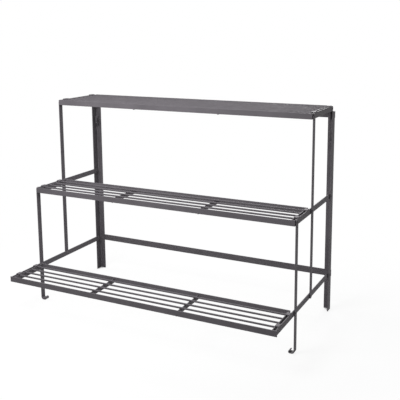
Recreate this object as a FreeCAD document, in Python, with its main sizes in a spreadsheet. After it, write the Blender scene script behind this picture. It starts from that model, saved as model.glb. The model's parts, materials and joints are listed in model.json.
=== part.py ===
"""Folding three-tier plant stand: a rear frame, three grille shelves that hinge on it,
and two pairs of upright flat bars that stay plumb while the shelves fold up.

Millimetres, +Z up, X along the length, the front towards -Y.
The origin lies on the floor under the middle of the stand.
"""
import FreeCAD, Part
import os

SIZES = {
    # flat bar that the whole stand is made of
    "frame_width": 1060,
    "flat_wide": 20,
    "flat_thick": 3,
    # rear posts, steel angle
    "post_side": 32,
    "post_back": 25,
    "post_drop": 11,
    "pivot_edge": 11,
    "stretcher_tall": 25,
    # shelf heights at the pivots, and how far the uprights stand in front of them
    "top_height": 773,
    "middle_height": 448,
    "bottom_height": 142,
    "upright_reach": 223.5,
    "leg_reach": 382,
    "bottom_reach": 559,
    # grilles
    "rail_lead": 13.7,
    "top_rear_set": 9,
    "middle_rear_lead": 4.4,
    "bottom_rear_lead": 11.6,
    "grille_gap": 8,
    "rod_diameter": 6.5,
    "rod_inset": 29,
    "top_rod_count": 7,
    "lower_rod_count": 4,
    "cross_tall": 16,
    "tab_long": 20,
    "tab_front_inset": 35,
    "tab_rear_inset": 30,
    # feet of the front legs: a bend, a run along the floor and a curl, its turn in degrees
    "foot_radius": 10,
    "foot_run": 6.5,
    "curl_radius": 5.5,
    "curl_turn": 200,
    # pivot rivets and washers
    "pin_diameter": 6,
    "pin_play": 0.05,
    "head_diameter": 11,
    "head_tall": 2.4,
    "tail_diameter": 9,
    "tail_tall": 1.8,
    "washer_diameter": 16,
    "washer_thick": 1,
    "lug_drop": 43,
    # fold catches on the posts
    "catch_wide": 7.5,
    "catch_thick": 2.5,
    "catch_tall": 35,
    "catch_drop": 107,
    "catch_stand": 18,
    "catch_rivet_diameter": 4,
    "catch_head_diameter": 7,
    "catch_head_tall": 1.6,
}

DERIVED = {
    "half_width": "=frame_width / 2",
    "bar_inside": "=half_width - flat_thick",
    "arm_outside": "=bar_inside - washer_thick",
    "arm_inside": "=arm_outside - flat_thick",
    "lug_outside": "=arm_inside - washer_thick",
    "grille_half": "=arm_inside - grille_gap",
    "grille_width": "=2 * grille_half",
    "cross_place": "=frame_width / 6",
    "half_wide": "=flat_wide / 2",
    "post_tall": "=top_height - post_drop",
    "low_stretcher_base": "=bottom_height - stretcher_tall / 2",
    "post_rear": "=post_side - pivot_edge",
    "post_front_of_back": "=post_rear - flat_thick",
    "pivot_line": "=(bottom_reach - post_rear - flat_thick) / 2",
    "rod_under_rail": "=half_wide - rod_diameter / 2",
    "pin_radius": "=pin_diameter / 2",
    "hole_radius": "=pin_radius + pin_play",
    "grip": "=2 * flat_thick + washer_thick",
    "catch_pin_radius": "=catch_rivet_diameter / 2",
    "catch_hole_radius": "=catch_pin_radius + pin_play",
    "catch_place": "=half_width - post_back / 2",
    "catch_base": "=post_tall - catch_drop",
    "catch_rivet_rise": "=2 * catch_tall / 3",
}

doc = FreeCAD.newDocument("PlantStand")
sheet = doc.addObject("Spreadsheet::Sheet", "Sizes")
for row, (alias, value) in enumerate(list(SIZES.items()) + list(DERIVED.items()), start=1):
    sheet.set("A%d" % row, alias)
    sheet.set("B%d" % row, str(value))
    sheet.setAlias("B%d" % row, alias)
doc.recompute()

ALONG_X = FreeCAD.Rotation(FreeCAD.Vector(0, 1, 0), 90)
AGAINST_X = FreeCAD.Rotation(FreeCAD.Vector(0, 1, 0), -90)
ALONG_Y = FreeCAD.Rotation(FreeCAD.Vector(1, 0, 0), -90)
AGAINST_Y = FreeCAD.Rotation(FreeCAD.Vector(1, 0, 0), 90)
HALF_TURN = FreeCAD.Rotation(FreeCAD.Vector(0, 0, 1), 180)
QUARTER_TURN = FreeCAD.Rotation(FreeCAD.Vector(0, 0, 1), 90)
BEND_TURN = AGAINST_Y.multiply(HALF_TURN)
CURL_TURN = BEND_TURN.multiply(QUARTER_TURN)
PLAIN = FreeCAD.Rotation()
SIDES = (("left", -1), ("right", 1))

pieces = []


def sized(formula):
    """Read a formula of plain size names as a formula on the sheet."""
    words = []
    word = ""
    for letter in str(formula) + " ":
        if letter.isalpha() or letter == "_":
            word += letter
        else:
            if word:
                words.append(word if word in ("asin", "pow") else "Sizes." + word)
            word = ""
            words.append(letter)
    return "".join(words).strip()


def bind(item, **formulas):
    """Tie an object's properties to formulas of the sheet's sizes."""
    for name, formula in formulas.items():
        item.setExpression(name, sized(formula))
    return item


def place(item, x=0, y=0, z=0, turn=PLAIN):
    """Put an object at x, y, z, each a formula, with a turn."""
    item.Placement = FreeCAD.Placement(FreeCAD.Vector(), turn)
    for axis, formula in (("x", x), ("y", y), ("z", z)):
        item.setExpression("Placement.Base." + axis, sized(formula))
    return item


def block(x, y, z, long_x, deep_y, tall_z):
    """A straight flat bar or plate with its low corner at x, y, z."""
    box = doc.addObject("Part::Box", "Block")
    bind(box, Length=long_x, Width=deep_y, Height=tall_z)
    return place(box, x, y, z)


def round_bar(x, y, z, radius, length, turn=ALONG_X):
    """A round bar that starts at x, y, z and runs along the turned axis."""
    bar = doc.addObject("Part::Cylinder", "Round")
    bind(bar, Radius=radius, Height=length)
    return place(bar, x, y, z, turn)


def joined(*items):
    """One solid from overlapping or touching items."""
    whole = doc.addObject("Part::MultiFuse", "Joined")
    whole.Shapes = list(items)
    whole.Refine = True
    return whole


def less(base, *tools):
    """The base with every tool cut out of it."""
    for tool in tools:
        cut = doc.addObject("Part::Cut", "Cut")
        cut.Base = base
        cut.Tool = tool
        cut.Refine = True
        base = cut
    return base


def group(*items):
    """Several separate solids kept as one piece."""
    whole = doc.addObject("Part::Compound", "Group")
    whole.Links = list(items)
    return whole


def piece(label, item, x=0, y=0, z=0, turn=PLAIN):
    """Name a finished piece and set it in the stand; y counts from the pivot line."""
    item.Label = label
    place(item, x, "pivot_line + (%s)" % y, z, turn)
    pieces.append(item)
    return item


def straight_bar(label, x, y, z, long_x, deep_y, tall_z):
    """A finished piece that is one straight bar, with its low corner at x, y, z."""
    return piece(label, block(0, 0, 0, long_x, deep_y, tall_z), x, y, z)


def hole(y, z):
    """A round hole through a flat bar that lies in the YZ plane from x = 0."""
    return round_bar("-flat_thick", y, z, "hole_radius", "3 * flat_thick")


def at_side(sign, inner, outer):
    """Low x of something that lies between two distances from the middle."""
    return inner if sign > 0 else "-(%s)" % outer


def arm(front_reach, pivots):
    """Flat bar on edge, round at the rear pivot, with a hole for each upright."""
    straight = block(0, "-(%s)" % front_reach, "-half_wide", "flat_thick", front_reach, "flat_wide")
    rounded = round_bar(0, 0, 0, "half_wide", "flat_thick")
    return less(joined(straight, rounded), *[hole("-(%s)" % reach, 0) for reach in ["0"] + pivots])


def upright(bottom, top, pivots, lower_end):
    """Flat bar that stands plumb, round at its upper pivot, with a hole for each arm."""
    straight = block(0, "-half_wide", bottom, "flat_thick", "flat_wide", "%s - (%s)" % (top, bottom))
    rounded = round_bar(0, 0, top, "half_wide", "flat_thick")
    return less(joined(straight, rounded, lower_end), *[hole(0, height) for height in pivots])


def bent(x, radius, angle, turn):
    """Flat bar bent along part of a ring that rests on the floor, with its middle at x."""
    ring = doc.addObject("Part::Cylinder", "Bend")
    bind(ring, Radius=radius, Height="flat_wide", Angle=angle)
    place(ring, x, "half_wide", radius, turn)
    inner = round_bar(x, "-flat_wide", radius, "%s - flat_thick" % radius, "2 * flat_wide", ALONG_Y)
    return less(ring, inner)


def curled_foot():
    """End of a leg that bends inward, runs along the floor and curls up; its outer face is at x = 0."""
    run = block("foot_radius", "-half_wide", 0, "foot_run", "flat_wide", "flat_thick")
    return joined(bent("foot_radius", "foot_radius", "90", BEND_TURN), run,
                  bent("foot_radius + foot_run", "curl_radius", "curl_turn", CURL_TURN))


def dome(x, y, z, diameter, tall, turn):
    """Low round rivet head that rises from x, y, z along the turned axis."""
    radius = "(pow({0} / 2; 2) + pow({1}; 2)) / (2 * {1})".format(diameter, tall)
    cap = doc.addObject("Part::Sphere", "Dome")
    bind(cap, Radius=radius, Angle1="asin((({0}) - {1}) / ({0}))".format(radius, tall))
    cap.Angle2 = 90
    reach = "(%s) - %s" % (radius, tall)
    back = turn.multVec(FreeCAD.Vector(0, 0, -1))
    spot = ["%s + %d * (%s)" % (start, round(step), reach) for start, step in zip((x, y, z), back)]
    return place(cap, spot[0], spot[1], spot[2], turn)


def pivot_rivet(sign, inner, y, z):
    """Rivet through two flat bars and a washer, its head on the outer side."""
    start = at_side(sign, inner, "(%s) + grip" % inner)
    far = "(%s) + grip" % start
    shank = round_bar(start, y, z, "pin_radius", "grip")
    outer, outer_turn = (far, ALONG_X) if sign > 0 else (start, AGAINST_X)
    close, close_turn = (start, AGAINST_X) if sign > 0 else (far, ALONG_X)
    head = dome(outer, y, z, "head_diameter", "head_tall", outer_turn)
    tail = dome(close, y, z, "tail_diameter", "tail_tall", close_turn)
    return joined(shank, head, tail)


def washer(sign, inner, y, z):
    """Flat ring between two bars."""
    start = at_side(sign, inner, "(%s) + washer_thick" % inner)
    disc = round_bar(start, y, z, "washer_diameter / 2", "washer_thick")
    bore = round_bar("(%s) - washer_thick" % start, y, z, "hole_radius", "3 * washer_thick")
    return less(disc, bore)


def spread(first, last, count):
    """Formulas for places evenly set from one place to another."""
    gaps = "(%s - 1)" % count
    return ["%s + ((%s) - (%s)) * %d / %s" % (first, last, first, step, gaps)
            for step in range(SIZES[count])]


def shelf(name, height, front_face, rear_face, rod_count, rail_half, pivots):
    """All the bars of one shelf; faces are distances in front of the pivot line."""
    front_inside = "(%s - flat_thick)" % front_face
    rear_inside = "(%s + flat_thick)" % rear_face
    span = "%s - %s" % (front_inside, rear_inside)
    under = height + " - half_wide"
    for side, sign in SIDES:
        piece("%s_%s_arm" % (name, side), arm(front_inside, pivots),
              at_side(sign, "arm_inside", "arm_outside"), 0, height)
        straight_bar("%s_%s_end_bar" % (name, side),
                     at_side(sign, "grille_half - flat_thick", "grille_half"), "-" + front_inside, under,
                     "flat_thick", span, "flat_wide")
    straight_bar(name + "_front_rail", "-" + rail_half, "-" + front_face, under,
                 "2 * " + rail_half, "flat_thick", "flat_wide")
    straight_bar(name + "_rear_rail", "-grille_half", "-" + rear_inside, under,
                 "grille_width", "flat_thick", "flat_wide")
    lanes = spread("(%s + rod_inset)" % rear_inside, "(%s - rod_inset)" % front_inside, rod_count)
    rods = [round_bar("flat_thick - grille_half", "-(%s)" % lane, 0, "rod_diameter / 2",
                      "grille_width - 2 * flat_thick") for lane in lanes]
    piece(name + "_rods", group(*rods), 0, 0, height + " + rod_under_rail")
    bars = [block("%d * cross_place - flat_thick / 2" % sign, 0, "-cross_tall",
                  "flat_thick", span, "cross_tall") for side, sign in SIDES]
    piece(name + "_cross_bars", group(*bars), 0, "-" + front_inside, height + " + half_wide - rod_diameter")
    tabs = []
    for middle in (front_inside + " - tab_front_inset", rear_inside + " + tab_rear_inset"):
        for side, sign in SIDES:
            tabs.append(block(at_side(sign, "grille_half - flat_thick", "arm_outside"),
                              "-(%s) - tab_long / 2" % middle, 0,
                              "grille_gap + 2 * flat_thick", "tab_long", "flat_thick"))
    piece(name + "_tabs", group(*tabs), 0, 0, height + " + half_wide")


# Rear frame: posts, stretchers, lugs and catches
for side, sign in SIDES:
    flange = block(at_side(sign, "bar_inside", "half_width"), "-pivot_edge", 0,
                   "flat_thick", "post_side", "post_tall")
    back = block(at_side(sign, "half_width - post_back", "half_width"), "post_front_of_back", 0,
                 "post_back", "flat_thick", "post_tall")
    through = [round_bar(at_side(sign, "bar_inside - flat_thick", "half_width + flat_thick"), 0, level,
                         "hole_radius", "3 * flat_thick") for level in ("middle_height", "bottom_height")]
    through.append(round_bar("%d * catch_place" % sign, "post_front_of_back - flat_thick",
                             "catch_base + catch_rivet_rise", "catch_hole_radius", "3 * flat_thick",
                             ALONG_Y))
    piece(side + "_rear_post", less(joined(flange, back), *through))

    plate = block(0, "-half_wide", "-lug_drop", "flat_thick", "half_wide + post_front_of_back", "lug_drop")
    rounded = round_bar(0, 0, 0, "half_wide", "flat_thick")
    piece(side + "_pivot_lug", less(joined(plate, rounded), hole(0, 0)),
          at_side(sign, "lug_outside - flat_thick", "lug_outside"), 0, "top_height")

    seat = block("-catch_wide / 2", "-catch_thick", 0, "catch_wide", "catch_thick", "catch_tall")
    web = block("-catch_wide / 2", "-catch_stand", 0, "catch_wide", "catch_stand", "catch_thick")
    lip = block("-catch_wide / 2", "-catch_stand", 0, "catch_wide", "catch_thick", "catch_tall")
    bore = round_bar(0, "-2 * catch_thick", "catch_rivet_rise", "catch_hole_radius",
                     "3 * catch_thick", ALONG_Y)
    piece(side + "_fold_catch", less(joined(seat, web, lip), bore),
          "%d * catch_place" % sign, "post_front_of_back", "catch_base")

for name, base in (("low", "low_stretcher_base"), ("top", "post_tall - stretcher_tall")):
    straight_bar(name + "_stretcher", "-half_width", "post_rear", base,
                 "frame_width", "flat_thick", "stretcher_tall")

catch_rivets = []
for side, sign in SIDES:
    spot = "%d * catch_place" % sign
    shank = round_bar(spot, "-catch_thick", 0, "catch_pin_radius", "catch_thick + flat_thick", ALONG_Y)
    head = dome(spot, "-catch_thick", 0, "catch_head_diameter", "catch_head_tall", AGAINST_Y)
    tail = dome(spot, "flat_thick", 0, "catch_head_diameter", "catch_head_tall", ALONG_Y)
    catch_rivets.append(joined(shank, head, tail))
piece("catch_rivets", group(*catch_rivets), 0, "post_front_of_back", "catch_base + catch_rivet_rise")

rivets = []
washers = []
for side, sign in SIDES:
    rivets.append(pivot_rivet(sign, "lug_outside - flat_thick", 0, "top_height"))
    washers.append(washer(sign, "lug_outside", 0, "top_height"))
    for level in ("middle_height", "bottom_height"):
        rivets.append(pivot_rivet(sign, "arm_inside", 0, level))
        washers.append(washer(sign, "arm_outside", 0, level))
piece("post_pivot_rivets", group(*rivets))
piece("post_pivot_washers", group(*washers))

# Three shelves, each hinged on the rear frame at its arms
shelf("top_shelf", "top_height", "(upright_reach + rail_lead)", "(-top_rear_set)", "top_rod_count",
      "arm_outside", ["upright_reach"])
shelf("middle_shelf", "middle_height", "(leg_reach + rail_lead)", "(upright_reach + middle_rear_lead)",
      "lower_rod_count", "arm_outside", ["upright_reach", "leg_reach"])
shelf("bottom_shelf", "bottom_height", "bottom_reach", "(leg_reach + bottom_rear_lead)",
      "lower_rod_count", "half_width", ["upright_reach", "leg_reach"])

# Uprights and front legs, outside the arms
for name, reach, bottom, levels in (
    ("upright", "upright_reach", "bottom_height", ("bottom_height", "middle_height", "top_height")),
    ("front_leg", "leg_reach", "foot_radius", ("bottom_height", "middle_height")),
):
    for side, sign in SIDES:
        if name == "upright":
            low_end = round_bar(0, 0, bottom, "half_wide", "flat_thick")
        else:
            low_end = curled_foot()
        bar = upright(bottom, levels[-1], levels, low_end)
        piece("%s_%s" % (side, name), bar, "%d * half_width" % sign, "-" + reach, 0,
              HALF_TURN if sign > 0 else PLAIN)
        fixings = [pivot_rivet(sign, "arm_inside", 0, level) for level in levels]
        piece("%s_%s_rivets" % (side, name), group(*fixings), 0, "-" + reach)
        rings = [washer(sign, "arm_outside", 0, level) for level in levels]
        piece("%s_%s_washers" % (side, name), group(*rings), 0, "-" + reach)

doc.recompute()

for item in doc.Objects:
    if "Invalid" in item.State or "Error" in item.State:
        raise RuntimeError("failed object: %s %s" % (item.Name, item.State))
for item in pieces:
    if item.Shape.isNull() or not item.Shape.isValid():
        raise RuntimeError("bad shape: %s" % item.Label)

os.makedirs("parts", exist_ok=True)
for item in pieces:
    item.Shape.exportStep("parts/%s.step" % item.Label)
    box = item.Shape.BoundBox
    print("%-28s solids %d  volume %.0f  x %.1f %.1f  y %.1f %.1f  z %.1f %.1f" % (
        item.Label, len(item.Shape.Solids), item.Shape.Volume,
        box.XMin, box.XMax, box.YMin, box.YMax, box.ZMin, box.ZMax))
print("pieces", len(pieces))
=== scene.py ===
"""Looks of the folding plant stand: eased steel bars, round rods, weld seams and a graphite powder coat.

Metres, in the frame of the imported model: +Z up, the front towards -Y.
"""
import json
import math

import bmesh
import bpy
from mathutils import Matrix, Vector


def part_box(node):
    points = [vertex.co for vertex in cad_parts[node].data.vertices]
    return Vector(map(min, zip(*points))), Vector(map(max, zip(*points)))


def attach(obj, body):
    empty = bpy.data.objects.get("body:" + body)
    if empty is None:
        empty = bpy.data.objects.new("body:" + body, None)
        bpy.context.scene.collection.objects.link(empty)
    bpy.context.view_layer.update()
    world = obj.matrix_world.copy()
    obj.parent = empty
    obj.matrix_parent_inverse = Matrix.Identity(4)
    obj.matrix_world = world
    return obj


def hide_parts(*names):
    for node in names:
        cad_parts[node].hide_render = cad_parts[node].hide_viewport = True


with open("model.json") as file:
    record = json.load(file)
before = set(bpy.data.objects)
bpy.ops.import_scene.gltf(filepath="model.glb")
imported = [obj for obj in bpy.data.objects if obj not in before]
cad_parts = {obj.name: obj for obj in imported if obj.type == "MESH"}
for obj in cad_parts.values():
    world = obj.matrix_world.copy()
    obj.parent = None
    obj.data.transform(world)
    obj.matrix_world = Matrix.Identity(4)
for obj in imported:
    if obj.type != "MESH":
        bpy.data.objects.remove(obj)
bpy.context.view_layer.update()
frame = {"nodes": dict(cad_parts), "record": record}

SIDES = {"left": -1, "right": 1}
ROD_COUNTS = {"top_shelf": 7, "middle_shelf": 4, "bottom_shelf": 4}
X_AXIS, Y_AXIS, Z_AXIS = 0, 1, 2
WHITE = (1.0, 1.0, 1.0, 1.0)

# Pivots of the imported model, and where the bars have their holes
PIVOTS = {joint["name"]: Vector(joint["pos_m"]) for joint in frame["record"]["behaviour"]["joints"]}
PIVOT_Y = PIVOTS["fold"].y
UPRIGHT_Y = PIVOTS["left_upright_pivot"].y
LEG_Y = PIVOTS["left_front_leg_pivot"].y
TOP_Z = PIVOTS["fold"].z
MIDDLE_Z = PIVOTS["middle_shelf_pivot"].z
BOTTOM_Z = PIVOTS["bottom_shelf_pivot"].z
LEVELS = {"top_shelf": TOP_Z, "middle_shelf": MIDDLE_Z, "bottom_shelf": BOTTOM_Z}
ARM_HOLES = {"top_shelf": (PIVOT_Y, UPRIGHT_Y), "middle_shelf": (PIVOT_Y, UPRIGHT_Y, LEG_Y),
             "bottom_shelf": (PIVOT_Y, UPRIGHT_Y, LEG_Y)}

# Sizes of the flat bars and of what is bent from them
FLAT_THICK = 0.003
HOLE_RADIUS = 0.00305
TAB_LONG = 0.020
POST_CORNER = 0.0016
POST_FILLET = 0.0024
CATCH_THICK = 0.0025
CATCH_BEND = 0.0042
CATCH_TIP = 0.001125
FOOT_RADIUS = 0.010
FOOT_RUN = 0.0065
CURL_RADIUS = 0.0055
CURL_TURN = math.radians(200)
# Radius of a round end in widths of its bar, just short of a half, so that its two arcs stay apart
ROUND_SHARE = 0.4995
# Part of the quarter turn that the top of a leg goes through, just short of a point
CROWN_SHARE = 0.96

# Eased edges, steps along bends and bars, and shading
EASE = 0.00045
EASE_STEPS = 3
BEND_STEPS = 12
HOLE_STEPS = 28
CURL_STEPS = 24
LEG_STEPS = 8
ROD_STEPS = 24
SAME_PLACE = 1e-7
SIDEWAYS = 0.99
SHARP_ANGLE = math.radians(50)
EVEN_WEIGHT = 60

# Weld seams: radii of their beads, unevenness, and how far they stop short of a bar's edge
FINE_BEAD = 0.0009
CROSS_BEAD = 0.001
BAR_BEAD = 0.0011
LUG_BEAD = 0.0012
BEAD_RING = 8
BEAD_STEP = 0.0011
BEAD_RIPPLE = 0.3
BEAD_SPOTS = 700.0
COLLAR_STEPS = 14
COLLAR_OPEN = math.radians(110)
ROD_SEAM_HALF = 0.0028
SHELF_TRIM = 0.0025
FRAME_TRIM = 0.002
FRAME_SEED = 7.0

# Powder coat: spots to a metre, and how far they change its shade, roughness and relief
SPECKLE_SPOTS = 1500.0
CLOUD_SPOTS = 14.0
PEEL_SPOTS = 520.0
NOISE_MEAN = 0.5
MEAN_SHADE = 0.42
SPECKLE_SHADE = 0.5
CLOUD_SHADE = 0.7
SPECKLE_ROUGH = 0.16
CLOUD_ROUGH = 0.12
EDGE_ROUGH = 0.06
PEEL_SHARE = 0.75
BUMP_STRENGTH = 0.5

# Floor: its matt colours, as seen and as it lights the stand, and its shadow's strength, reach and fade
FLOOR_REACH = 30.0
FLOOR_MATT = (0.7, 0.7, 0.7, 1.0)
FLOOR_DULL = (0.4, 0.4, 0.4, 1.0)
SHADOW_SHARE = 0.14
SHADOW_REACH = 0.75
SHADOW_FADE = 0.5

# How far the camera sees, well past the floor's corners
SIGHT_REACH = 200.0


class Wire:
    """An output of a node tree. Sums on wires add Math nodes, and node() adds any other kind."""

    def __init__(self, tree, socket=None):
        self.tree = tree
        self.socket = socket

    def node(self, kind, settings=None, inputs=None, output=0):
        """Add a node, its settings first, then the values or links of its sockets."""
        made = self.tree.nodes.new(kind)
        for name, value in (settings or {}).items():
            if name == "stops":
                for index, (place, colour) in enumerate(value):
                    stop = made.color_ramp.elements[index]
                    stop.position = place
                    stop.color = (*colour, 1)
            else:
                setattr(made, name, value)
        for name, value in (inputs or {}).items():
            if isinstance(value, Wire):
                self.tree.links.new(value.socket, made.inputs[name])
            else:
                made.inputs[name].default_value = value
        return Wire(self.tree, made.outputs[output] if made.outputs else None)

    def maths(self, operation, first, second):
        """One Math node on two wires or numbers."""
        return self.node("ShaderNodeMath", {"operation": operation}, {0: first, 1: second})

    def __add__(self, other):
        return self.maths("ADD", self, other)

    def __radd__(self, other):
        return self.maths("ADD", other, self)

    def __sub__(self, other):
        return self.maths("SUBTRACT", self, other)

    def __rsub__(self, other):
        return self.maths("SUBTRACT", other, self)

    def __mul__(self, other):
        return self.maths("MULTIPLY", self, other)

    def __rmul__(self, other):
        return self.maths("MULTIPLY", other, self)


def blank_tree(holder):
    """Empty the node tree of a material or a world, and give the wire to start from."""
    holder.use_nodes = True
    holder.node_tree.nodes.clear()
    return Wire(holder.node_tree)


def noise(start, place, spots, detail):
    """Soft random value from 0 to 1 over a place, with so many spots to a metre."""
    return start.node("ShaderNodeTexNoise", inputs={"Vector": place, "Scale": spots, "Detail": detail})


def powder_coat(name, dark, light, roughness, sheen, peel_height, edge_film_and_highlight):
    """Satin powder coat: fine speckle, faint clouds, orange peel, and edges painted paler, partly for a
    thinner film there and partly as a painted highlight.
    """
    material = bpy.data.materials.new(name)
    start = blank_tree(material)
    place = start.node("ShaderNodeTexCoord", output="Object")
    speckle = noise(start, place, SPECKLE_SPOTS, detail=1.0)
    cloud = noise(start, place, CLOUD_SPOTS, detail=3.0)
    peel = noise(start, place, PEEL_SPOTS, detail=2.0)
    edge = start.node("ShaderNodeAttribute", {"attribute_name": "edge"}, output="Fac")
    grain = speckle - NOISE_MEAN
    drift = cloud - NOISE_MEAN
    # The edge mark lightens the eased edges: partly a thinner coat there, partly a painted highlight
    shade = MEAN_SHADE + grain * SPECKLE_SHADE + drift * CLOUD_SHADE + edge * edge_film_and_highlight
    colour = start.node("ShaderNodeValToRGB", {"stops": ((0, dark), (1, light))}, {"Fac": shade}, "Color")
    rough = roughness + grain * SPECKLE_ROUGH + drift * CLOUD_ROUGH - edge * EDGE_ROUGH
    relief = peel * PEEL_SHARE + speckle * (1 - PEEL_SHARE)
    bump = start.node("ShaderNodeBump", inputs={
        "Strength": BUMP_STRENGTH, "Distance": peel_height, "Height": relief}, output="Normal")
    shader = start.node("ShaderNodeBsdfPrincipled", inputs={
        "Base Color": colour, "Roughness": rough, "Normal": bump, "Specular IOR Level": sheen})
    start.node("ShaderNodeOutputMaterial", inputs={"Surface": shader})
    return material


# The flat bars' eased edges are painted paler: a thinner coat there and a painted highlight
BAR_COAT = powder_coat(
    "graphite_coat_on_flat_bar", dark=(0.066, 0.061, 0.067), light=(0.131, 0.121, 0.133),
    roughness=0.55, sheen=0.12, peel_height=0.00005, edge_film_and_highlight=0.30)
ROD_COAT = powder_coat(
    "graphite_coat_on_round_rod", dark=(0.058, 0.053, 0.059), light=(0.115, 0.106, 0.117),
    roughness=0.48, sheen=0.14, peel_height=0.00005, edge_film_and_highlight=0.0)
WELD_COAT = powder_coat(
    "graphite_coat_on_weld", dark=(0.059, 0.054, 0.060), light=(0.117, 0.108, 0.119),
    roughness=0.58, sheen=0.12, peel_height=0.00012, edge_film_and_highlight=0.0)
FIXING_COAT = powder_coat(
    "graphite_coat_on_fixings", dark=(0.055, 0.051, 0.056), light=(0.113, 0.105, 0.115),
    roughness=0.48, sheen=0.20, peel_height=0.00004, edge_film_and_highlight=0.0)


def placed(name, data):
    """New object of the scene, at the origin."""
    made = bpy.data.objects.new(name, data)
    bpy.context.collection.objects.link(made)
    return made


def settled(piece):
    """Make a piece's modifiers part of its mesh."""
    bpy.context.view_layer.update()
    graph = bpy.context.evaluated_depsgraph_get()
    mesh = bpy.data.meshes.new_from_object(piece.evaluated_get(graph))
    piece.modifiers.clear()
    piece.data = mesh


def stands_for(piece, node, body):
    """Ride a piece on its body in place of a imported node."""
    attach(piece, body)
    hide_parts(node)


def rounded(corners):
    """Outline whose corners, each (u, v, radius), are turned into short arcs."""
    outline = []
    count = len(corners)
    for index, (u, v, radius) in enumerate(corners):
        point = Vector((u, v))
        back = (Vector(corners[index - 1][:2]) - point).normalized()
        ahead = (Vector(corners[(index + 1) % count][:2]) - point).normalized()
        half = back.angle(ahead) / 2
        centre = point + (back + ahead).normalized() * radius / math.sin(half)
        first = point + back * radius / math.tan(half) - centre
        last = point + ahead * radius / math.tan(half) - centre
        turn = math.atan2(first.x * last.y - first.y * last.x, first.dot(last))
        steps = BEND_STEPS if radius > EASE else EASE_STEPS
        for step in range(steps + 1):
            outline.append(centre + Matrix.Rotation(turn * step / steps, 2) @ first)
    return outline


def section(low, high):
    """Outline of a rectangle between two points, its corners eased."""
    return rounded([(low[0], low[1], EASE), (high[0], low[1], EASE),
                    (high[0], high[1], EASE), (low[0], high[1], EASE)])


def inset(outline, depth):
    """A counterclockwise outline moved inward."""
    moved = []
    count = len(outline)
    for index, point in enumerate(outline):
        back = (point - outline[index - 1]).normalized()
        ahead = (outline[(index + 1) % count] - point).normalized()
        inward = Vector((-back.y - ahead.y, back.x + ahead.x))
        moved.append(point + inward * depth / (1 + back.dot(ahead)))
    return moved


def at_level(point, level, axis):
    """Place in space of an outline point at a level along an axis."""
    place = [point[0], point[1]]
    place.insert(axis, level)
    return place


def skin(bm, rings, eased=()):
    """Walls between rings of points and caps on both ends; eased bands and corners are marked as edges."""
    edge_marks = bm.faces.layers.float.get("edge") or bm.faces.layers.float.new("edge")
    count = len(rings[0])
    loops = [[bm.verts.new(place) for place in ring] for ring in rings]
    for band, (lower, upper) in enumerate(zip(loops, loops[1:])):
        for index in range(count):
            ahead = (index + 1) % count
            face = bm.faces.new((lower[index], lower[ahead], upper[ahead], upper[index]))
            narrow = (lower[ahead].co - lower[index].co).length < EASE
            face[edge_marks] = 1.0 if narrow or band in eased else 0.0
    bm.faces.new(loops[0])
    bm.faces.new(loops[-1])


def plate(bm, outline, low, high, axis):
    """Add a bar with an outline that runs from one level to another along an axis, its ends eased."""
    bands = []
    for step in range(EASE_STEPS + 1):
        angle = math.pi / 2 * step / EASE_STEPS
        bands.append((EASE * (1 - math.cos(angle)), EASE * (1 - math.sin(angle))))
    levels = [(low + rise, depth) for rise, depth in bands]
    levels += [(high - rise, depth) for rise, depth in reversed(bands)]
    rings = [[at_level(point, level, axis) for point in inset(outline, depth)] for level, depth in levels]
    eased = set(range(len(rings) - 1)) - {EASE_STEPS}
    skin(bm, rings, eased)


def bore(bm, places):
    """Cut a pivot hole along X at each place, through the two flat faces that it lies between."""
    bm.normal_update()
    rims = {}
    for place in places:
        pair = [face for face in bm.faces
                if abs(face.normal.x) > SIDEWAYS and bmesh.geometry.intersect_face_point(face, place)]
        rings = []
        for face in pair:
            level = face.verts[0].co.x
            ring = []
            for step in range(HOLE_STEPS):
                angle = 2 * math.pi * step / HOLE_STEPS
                ring.append(bm.verts.new((level, place.y + HOLE_RADIUS * math.cos(angle),
                                          place.z + HOLE_RADIUS * math.sin(angle))))
            rim = [bm.edges.new((ring[step - 1], ring[step])) for step in range(HOLE_STEPS)]
            rims.setdefault(face, []).extend(rim)
            rings.append(ring)
        near, far = rings
        for step in range(HOLE_STEPS):
            bm.faces.new((near[step - 1], near[step], far[step], far[step - 1]))
    for face, rim in rims.items():
        border = list(face.edges)
        facing = face.normal.copy()
        bm.faces.remove(face)
        bmesh.ops.triangle_fill(bm, use_beauty=True, edges=border + rim, normal=facing)


def coated_bar(bm, node, body):
    """Turn a built form into a coated bar with clean shading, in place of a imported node."""
    bmesh.ops.remove_doubles(bm, verts=bm.verts, dist=SAME_PLACE)
    bmesh.ops.recalc_face_normals(bm, faces=bm.faces)
    for face in bm.faces:
        face.smooth = True
    mesh = bpy.data.meshes.new(node + "_coated")
    bm.to_mesh(mesh)
    bm.free()
    mesh.materials.append(BAR_COAT)
    mesh.set_sharp_from_angle(angle=SHARP_ANGLE)
    piece = placed(node + "_coated", mesh)
    even = piece.modifiers.new("even", "WEIGHTED_NORMAL")
    even.weight = EVEN_WEIGHT
    even.keep_sharp = True
    settled(piece)
    stands_for(piece, node, body)


def long_bar(node, body, axis):
    """A straight flat bar along an axis, in the box of its node."""
    low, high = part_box(node)
    across = [index for index in (X_AXIS, Y_AXIS, Z_AXIS) if index != axis]
    outline = section([low[index] for index in across], [high[index] for index in across])
    bm = bmesh.new()
    plate(bm, outline, low[axis], high[axis], axis)
    coated_bar(bm, node, body)


def cross_bars(node, body):
    """The two short bars on edge under the rods, one each side of the middle."""
    low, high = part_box(node)
    bm = bmesh.new()
    for first in (low.x, high.x - FLAT_THICK):
        plate(bm, section((first, low.z), (first + FLAT_THICK, high.z)), low.y, high.y, Y_AXIS)
    coated_bar(bm, node, body)


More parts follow.
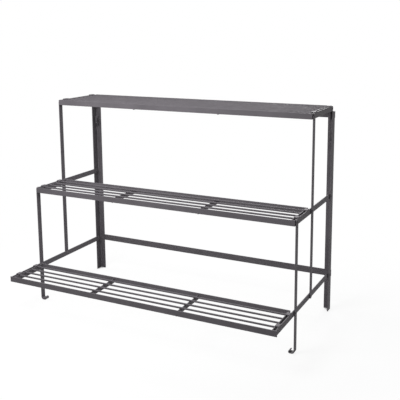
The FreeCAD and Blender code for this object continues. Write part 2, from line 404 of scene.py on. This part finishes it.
def grille_tabs(node, body, inner):
    """The four flat tabs that lie across the end bars and the arms, two at each end."""
    low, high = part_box(node)
    bm = bmesh.new()
    for first in (low.y, high.y - TAB_LONG):
        for left, right in ((low.x, -inner), (inner, high.x)):
            plate(bm, section((left, first), (right, first + TAB_LONG)), low.z, high.z, Z_AXIS)
    coated_bar(bm, node, body)


def side_bar(node, body, holes, axis, low_round):
    """A flat bar at the stand's side with pivot holes, round at its high end and maybe at its low one."""
    low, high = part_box(node)
    width = high.z - low.z if axis == Y_AXIS else high.y - low.y
    last = width * ROUND_SHARE
    first = last if low_round else EASE
    radii = (first, last, last, first) if axis == Y_AXIS else (first, first, last, last)
    places = ((low.y, low.z), (high.y, low.z), (high.y, high.z), (low.y, high.z))
    outline = rounded([(*place, radius) for place, radius in zip(places, radii)])
    bm = bmesh.new()
    plate(bm, outline, low.x, high.x, X_AXIS)
    middle = (low.x + high.x) / 2
    bore(bm, [Vector((middle, y, z)) for y, z in holes])
    coated_bar(bm, node, body)


def front_leg(node, body, sign):
    """A flat leg, round at its top pivot, that bends inward at the floor and curls up at its tip."""
    low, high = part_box(node)
    outside = high.x if sign > 0 else low.x
    half_wide = (high.y - low.y) / 2
    top_pivot = high.z - half_wide
    stations = []

    def bend(inward, radius, first, last, steps):
        """Stations along an arc that rests on the floor, between two angles from the outer side."""
        centre = Vector((outside - sign * inward, low.z + radius))
        for step in range(steps + 1):
            angle = first + (last - first) * step / steps
            ray = Vector((sign * math.cos(angle), -math.sin(angle)))
            stations.append((centre + ray * (radius - FLAT_THICK / 2), ray, half_wide))

    bend(FOOT_RADIUS + FOOT_RUN, CURL_RADIUS, math.pi / 2 + CURL_TURN, math.pi / 2, CURL_STEPS)
    bend(FOOT_RADIUS, FOOT_RADIUS, math.pi / 2, 0, BEND_STEPS)
    side = Vector((sign, 0))
    line = outside - sign * FLAT_THICK / 2
    ankle = low.z + FOOT_RADIUS
    for step in range(1, LEG_STEPS + 1):
        height = ankle + (top_pivot - ankle) * step / LEG_STEPS
        stations.append((Vector((line, height)), side, half_wide))
    for step in range(1, BEND_STEPS + 1):
        angle = math.pi / 2 * CROWN_SHARE * step / BEND_STEPS
        height = top_pivot + half_wide * math.sin(angle)
        stations.append((Vector((line, height)), side, half_wide * math.cos(angle)))
    rings = []
    for middle, ray, half in stations:
        ring = []
        for across, along in section((-FLAT_THICK / 2, -half), (FLAT_THICK / 2, half)):
            place = middle + ray * across
            ring.append((place.x, LEG_Y + along, place.y))
        rings.append(ring)
    bm = bmesh.new()
    skin(bm, rings)
    coated_bar(bm, node, body)


def rear_post(node, sign):
    """Steel angle with a rolled corner: one leg to the side and one to the rear."""
    low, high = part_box(node)
    outside, inside = (high.x, low.x) if sign > 0 else (low.x, high.x)
    flat = sign * FLAT_THICK
    corners = [(outside, low.y, EASE), (outside, high.y, POST_CORNER), (inside, high.y, EASE),
               (inside, high.y - FLAT_THICK, EASE),
               (outside - flat, high.y - FLAT_THICK, POST_FILLET), (outside - flat, low.y, EASE)]
    if sign < 0:
        corners.reverse()
    bm = bmesh.new()
    plate(bm, rounded(corners), low.z, high.z, Z_AXIS)
    bore(bm, [Vector((outside - flat / 2, PIVOT_Y, z)) for z in (BOTTOM_Z, MIDDLE_Z)])
    coated_bar(bm, node, "rear_frame")


def pivot_lug(node):
    """Small plate inside the post that carries the top pivot above it."""
    low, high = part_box(node)
    half = PIVOT_Y - low.y
    crown = 2 * half * ROUND_SHARE
    corners = [(low.y, low.z, EASE), (high.y, low.z, EASE), (high.y, TOP_Z, EASE),
               (PIVOT_Y + half, TOP_Z, EASE), (PIVOT_Y + half, high.z, crown), (low.y, high.z, crown)]
    bm = bmesh.new()
    plate(bm, rounded(corners), low.x, high.x, X_AXIS)
    bore(bm, [Vector(((low.x + high.x) / 2, PIVOT_Y, TOP_Z))])
    coated_bar(bm, node, "rear_frame")


def fold_catch(node):
    """Strip bent to a narrow cup, open at the top, on the rear leg of the post."""
    low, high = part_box(node)
    inner = CATCH_BEND - CATCH_THICK
    front, rear, floor = low.y + CATCH_THICK, high.y - CATCH_THICK, low.z + CATCH_THICK
    corners = [(low.y, low.z, CATCH_BEND), (high.y, low.z, CATCH_BEND),
               (high.y, high.z, CATCH_TIP), (rear, high.z, CATCH_TIP), (rear, floor, inner),
               (front, floor, inner), (front, high.z, CATCH_TIP), (low.y, high.z, CATCH_TIP)]
    bm = bmesh.new()
    plate(bm, rounded(corners), low.x, high.x, X_AXIS)
    coated_bar(bm, node, "rear_frame")


def new_tree(name, sizes):
    """Empty shape tree with a geometry way through and named sizes; gives the tree and its wires."""
    tree = bpy.data.node_groups.new(name, "GeometryNodeTree")
    tree.interface.new_socket("Geometry", in_out="INPUT", socket_type="NodeSocketGeometry")
    for label, kind in sizes.items():
        tree.interface.new_socket(label, in_out="INPUT", socket_type=kind)
    tree.interface.new_socket("Geometry", in_out="OUTPUT", socket_type="NodeSocketGeometry")
    entry = tree.nodes.new("NodeGroupInput")
    return tree, {socket.name: Wire(tree, socket) for socket in entry.outputs if socket.name}


def close_tree(shape, coat):
    """End a shape tree in plain, smooth, coated geometry."""
    real = shape.node("GeometryNodeRealizeInstances", inputs={"Geometry": shape})
    smooth = shape.node("GeometryNodeSetShadeSmooth", inputs={"Geometry": real})
    dressed = shape.node("GeometryNodeSetMaterial", inputs={"Geometry": smooth, "Material": coat})
    shape.node("NodeGroupOutput", inputs={"Geometry": dressed})


def rod_tree():
    """Round rods side by side, from one rod swept along a line and set at even places."""
    tree, size = new_tree("grille_rods", {
        "Rod radius": "NodeSocketFloat", "First end": "NodeSocketVector", "Last end": "NodeSocketVector",
        "Count": "NodeSocketInt", "Step": "NodeSocketVector"})
    start = size["Count"]
    line = start.node("GeometryNodeCurvePrimitiveLine", inputs={
        "Start": size["First end"], "End": size["Last end"]})
    ring = start.node("GeometryNodeCurvePrimitiveCircle", inputs={
        "Resolution": ROD_STEPS, "Radius": size["Rod radius"]})
    rod = start.node("GeometryNodeCurveToMesh", inputs={
        "Curve": line, "Profile Curve": ring, "Fill Caps": True})
    places = start.node("GeometryNodeMeshLine", inputs={"Count": size["Count"], "Offset": size["Step"]})
    rods = start.node("GeometryNodeInstanceOnPoints", inputs={"Points": places, "Instance": rod})
    close_tree(rods, ROD_COAT)
    return tree


def weld_tree():
    """Weld seams along the edges of a carrier: round beads with ripples and an uneven width."""
    tree, size = new_tree("weld_seams", {
        "Step": "NodeSocketFloat", "Ripple": "NodeSocketFloat", "Seed": "NodeSocketFloat"})
    start = size["Step"]
    paths = start.node("GeometryNodeMeshToCurve", inputs={"Mesh": size["Geometry"]})
    fine = start.node("GeometryNodeResampleCurve", {"mode": "LENGTH"}, {
        "Curve": paths, "Length": size["Step"]})
    place = start.node("GeometryNodeInputPosition")
    uneven = start.node("ShaderNodeTexNoise", {"noise_dimensions": "4D"}, {
        "Vector": place, "W": size["Seed"], "Scale": BEAD_SPOTS, "Detail": 1.0})
    radius = start.node("GeometryNodeInputNamedAttribute", {"data_type": "FLOAT"}, {"Name": "seam"},
                        output="Attribute")
    wave = 1 - size["Ripple"] + uneven * size["Ripple"] * 2
    ring = start.node("GeometryNodeCurvePrimitiveCircle", inputs={"Resolution": BEAD_RING, "Radius": 1.0})
    bead = start.node("GeometryNodeCurveToMesh", inputs={
        "Curve": fine, "Profile Curve": ring, "Scale": radius * wave, "Fill Caps": True})
    close_tree(bead, WELD_COAT)
    return tree


RODS = rod_tree()
WELDS = weld_tree()


def shaped(carrier, tree, **sizes):
    """Run a shape tree on a carrier object and keep its result as a plain mesh."""
    maker = carrier.modifiers.new("shape", "NODES")
    maker.node_group = tree
    for item in tree.interface.items_tree:
        key = item.name.lower().replace(" ", "_")
        if item.in_out == "INPUT" and key in sizes:
            maker[item.identifier] = sizes[key]
    settled(carrier)


def rod_lanes(shelf):
    """The rods' places from front to rear, and their height, radius and half length."""
    low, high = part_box(shelf + "_rods")
    radius = (high.z - low.z) / 2
    count = ROD_COUNTS[shelf]
    first = low.y + radius
    step = (high.y - low.y - 2 * radius) / (count - 1)
    lanes = [first + step * index for index in range(count)]
    return lanes, low.z + radius, radius, high.x


def grille_rods(shelf):
    """The round rods of a shelf."""
    lanes, height, radius, reach = rod_lanes(shelf)
    name = shelf + "_rods_coated"
    piece = placed(name, bpy.data.meshes.new(name))
    shaped(piece, RODS, rod_radius=radius, count=len(lanes), first_end=(-reach, lanes[0], height),
           last_end=(reach, lanes[0], height), step=(0, lanes[1] - lanes[0], 0))
    stands_for(piece, shelf + "_rods", shelf)


class Seams:
    """Collects the lines and rings along which a body is welded."""

    def __init__(self):
        self.bm = bmesh.new()
        self.layer = self.bm.verts.layers.float.new("seam")

    def path(self, places, bead):
        """A seam along places in a row, with the radius of its bead."""
        verts = [self.bm.verts.new(place) for place in places]
        for vert in verts:
            vert[self.layer] = bead
        for pair in zip(verts, verts[1:]):
            self.bm.edges.new(pair)

    def rise(self, x, y, low, high, trim, bead):
        """A seam up the corner between two bars, trimmed at both ends."""
        self.path(((x, y, low + trim), (x, y, high - trim)), bead)

    def collar(self, x, y, z, radius, bead):
        """A seam around the end of a rod that runs along X, left open above, where the rod is flush."""
        sweep = 2 * math.pi - COLLAR_OPEN
        places = []
        for step in range(COLLAR_STEPS + 1):
            angle = math.pi / 2 + COLLAR_OPEN / 2 + sweep * step / COLLAR_STEPS
            places.append((x, y + radius * math.cos(angle), z + radius * math.sin(angle)))
        self.path(places, bead)

    def made(self, name, body, seed):
        """Lay the seams and ride them on the body."""
        mesh = bpy.data.meshes.new(name)
        self.bm.to_mesh(mesh)
        self.bm.free()
        piece = placed(name, mesh)
        shaped(piece, WELDS, step=BEAD_STEP, ripple=BEAD_RIPPLE, seed=seed)
        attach(piece, body)


def shelf_welds(shelf, seed):
    """Seams where rods, rails, end bars, cross bars, tabs and arms meet."""
    seams = Seams()
    lanes, height, radius, reach = rod_lanes(shelf)
    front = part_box(shelf + "_front_rail")[1].y
    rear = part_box(shelf + "_rear_rail")[0].y
    cross_low, cross_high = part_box(shelf + "_cross_bars")
    end_low, end_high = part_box(shelf + "_right_end_bar")
    arm_low, arm_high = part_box(shelf + "_right_arm")
    tab_low, tab_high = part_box(shelf + "_tabs")
    cross_inner = cross_high.x - FLAT_THICK
    for sign in SIDES.values():
        for lane in lanes:
            seams.collar(sign * reach, lane, height, radius, FINE_BEAD)
            for x in (sign * cross_inner, sign * cross_high.x):
                ends = [(x, lane + half, cross_high.z) for half in (-ROD_SEAM_HALF, ROD_SEAM_HALF)]
                seams.path(ends, FINE_BEAD)
        for y in (front, rear):
            seams.rise(sign * end_low.x, y, end_low.z, end_high.z, SHELF_TRIM, BAR_BEAD)
            seams.rise(sign * cross_inner, y, cross_low.z, cross_high.z, SHELF_TRIM, CROSS_BEAD)
        seams.rise(sign * arm_low.x, front, arm_low.z, arm_high.z, SHELF_TRIM, BAR_BEAD)
        for y in (tab_low.y, tab_low.y + TAB_LONG, tab_high.y - TAB_LONG, tab_high.y):
            for x in (end_low.x, arm_low.x):
                seams.path(((sign * x, y, tab_low.z), (sign * (x + FLAT_THICK), y, tab_low.z)), FINE_BEAD)
    seams.made(shelf + "_welds", shelf, seed)


def frame_welds():
    """Seams of the stretchers on the posts and of the lugs on the posts' rear legs."""
    seams = Seams()
    post_low, post_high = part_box("right_rear_post")
    lug_low, lug_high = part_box("right_pivot_lug")
    low_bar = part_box("low_stretcher")
    top_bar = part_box("top_stretcher")
    back = post_high.y
    for sign in SIDES.values():
        inner, outer = sign * (post_low.x + FRAME_TRIM), sign * (post_high.x - FRAME_TRIM)
        for height in (low_bar[0].z, low_bar[1].z, top_bar[0].z):
            seams.path(((inner, back, height), (outer, back, height)), BAR_BEAD)
        for low, high in (low_bar, top_bar):
            seams.rise(sign * post_low.x, back, low.z, high.z, FRAME_TRIM, CROSS_BEAD)
        seams.rise(sign * lug_low.x, lug_high.y, lug_low.z, post_high.z, FRAME_TRIM, LUG_BEAD)
    seams.made("rear_frame_welds", "rear_frame", FRAME_SEED)


# Shelves
for seed, shelf in enumerate(LEVELS):
    for part in ("_front_rail", "_rear_rail"):
        long_bar(shelf + part, shelf, X_AXIS)
    cross_bars(shelf + "_cross_bars", shelf)
    grille_tabs(shelf + "_tabs", shelf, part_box(shelf + "_right_end_bar")[0].x)
    grille_rods(shelf)
    for side in SIDES:
        long_bar("%s_%s_end_bar" % (shelf, side), shelf, Y_AXIS)
        holes = [(y, LEVELS[shelf]) for y in ARM_HOLES[shelf]]
        side_bar("%s_%s_arm" % (shelf, side), shelf, holes, Y_AXIS, low_round=False)
    shelf_welds(shelf, float(seed))

# Uprights, front legs and the rear frame
for side, sign in SIDES.items():
    holes = [(UPRIGHT_Y, z) for z in LEVELS.values()]
    side_bar(side + "_upright", side + "_upright", holes, Z_AXIS, low_round=True)
    front_leg(side + "_front_leg", side + "_front_leg", sign)
    rear_post(side + "_rear_post", sign)
    pivot_lug(side + "_pivot_lug")
    fold_catch(side + "_fold_catch")
for node in ("low_stretcher", "top_stretcher"):
    long_bar(node, "rear_frame", X_AXIS)
frame_welds()

# Rivets and washers keep their solids and get a coat of their own
for node, solid in frame["nodes"].items():
    if "rivets" in node or "washers" in node:
        for holder in solid.material_slots:
            holder.material = FIXING_COAT


def seen_directly(start):
    """1 for rays that come from the camera, a reflection or glass, and 0 for the rest."""
    camera, glossy, glass = (start.node("ShaderNodeLightPath", output=name)
                             for name in ("Is Camera Ray", "Is Glossy Ray", "Is Transmission Ray"))
    return start.maths("MINIMUM", camera + glossy + glass, 1.0)


def pale_floor():
    """Wide white floor that keeps a faint shadow near the stand."""
    mesh = bpy.data.meshes.new("floor")
    corners = [(-FLOOR_REACH, -FLOOR_REACH, 0), (FLOOR_REACH, -FLOOR_REACH, 0),
               (FLOOR_REACH, FLOOR_REACH, 0), (-FLOOR_REACH, FLOOR_REACH, 0)]
    mesh.from_pydata(corners, [], [(0, 1, 2, 3)])
    floor = placed("floor", mesh)
    material = bpy.data.materials.new("floor_white")
    start = blank_tree(material)
    matt = start.node("ShaderNodeBsdfDiffuse", inputs={"Color": FLOOR_MATT})
    dull = start.node("ShaderNodeBsdfDiffuse", inputs={"Color": FLOOR_DULL})
    glow = start.node("ShaderNodeEmission", inputs={"Color": WHITE, "Strength": 1.0})
    place = start.node("ShaderNodeTexCoord", output="Object")
    away = start.node("ShaderNodeVectorMath", {"operation": "LENGTH"}, {0: place}, "Value")
    faded = start.maths("MAXIMUM", (away - SHADOW_REACH) * (1 / SHADOW_FADE), 0.0)
    clear = start.maths("MINIMUM", faded, 1.0)
    shown = start.node("ShaderNodeMixShader", inputs={
        "Fac": 1 - SHADOW_SHARE + clear * SHADOW_SHARE, 1: matt, 2: glow})
    both = start.node("ShaderNodeMixShader", inputs={"Fac": seen_directly(start), 1: dull, 2: shown})
    start.node("ShaderNodeOutputMaterial", inputs={"Surface": both})
    mesh.materials.append(material)


def surroundings(strength):
    """Even pale light from all round, seen as white."""
    world = bpy.data.worlds.new("studio")
    bpy.context.scene.world = world
    start = blank_tree(world)
    lit = start.node("ShaderNodeBackground", inputs={"Color": WHITE, "Strength": strength})
    seen = start.node("ShaderNodeBackground", inputs={"Color": WHITE, "Strength": 1.0})
    both = start.node("ShaderNodeMixShader", inputs={"Fac": seen_directly(start), 1: lit, 2: seen})
    start.node("ShaderNodeOutputWorld", inputs={"Surface": both})


def soft_lamp(name, place, target, size, power):
    """Square soft lamp that points at a target."""
    lamp = bpy.data.lights.new(name, "AREA")
    lamp.energy = power
    lamp.size = size
    holder = placed(name, lamp)
    holder.location = place
    holder.rotation_euler = (Vector(target) - Vector(place)).to_track_quat("-Z", "Y").to_euler()


def photo_camera(place, turn, tilt, roll, lens, shift):
    """Camera at the photo's angle, a little above the top shelf and to the right of the middle."""
    turn, tilt, roll = (math.radians(angle) for angle in (turn, tilt, roll))
    ahead = Vector((-math.sin(turn) * math.cos(tilt), math.cos(turn) * math.cos(tilt), -math.sin(tilt)))
    right = Vector((math.cos(turn), math.sin(turn), 0))
    up = right.cross(ahead)
    across = right * math.cos(roll) + up * math.sin(roll)
    upward = up * math.cos(roll) - right * math.sin(roll)
    eye = bpy.data.cameras.new("photo_camera")
    eye.lens = lens
    eye.shift_y = shift
    eye.clip_end = SIGHT_REACH
    camera = placed("photo_camera", eye)
    aim = Matrix((across, upward, -ahead)).transposed().to_4x4()
    camera.matrix_world = Matrix.Translation(place) @ aim
    bpy.context.scene.camera = camera


# Floor, light and camera
pale_floor()
surroundings(strength=0.4)
soft_lamp("key_lamp", place=(-0.28, -0.8, 1.44), target=(0.0, 0.0, 0.6), size=0.7, power=25.0)
soft_lamp("rear_lamp", place=(0.0, 2.2, 1.9), target=(0.0, 0.3, 0.4), size=1.4, power=56.0)
soft_lamp("left_lamp", place=(-2.2, 0.2, 1.3), target=(0.0, 0.0, 0.4), size=1.2, power=18.0)
photo_camera(place=(1.2181, -2.1482, 1.0799), turn=27.0135, tilt=9.6263, roll=-0.4367,
             lens=61.723, shift=-0.15)
bpy.context.scene.view_settings.view_transform = "Standard"
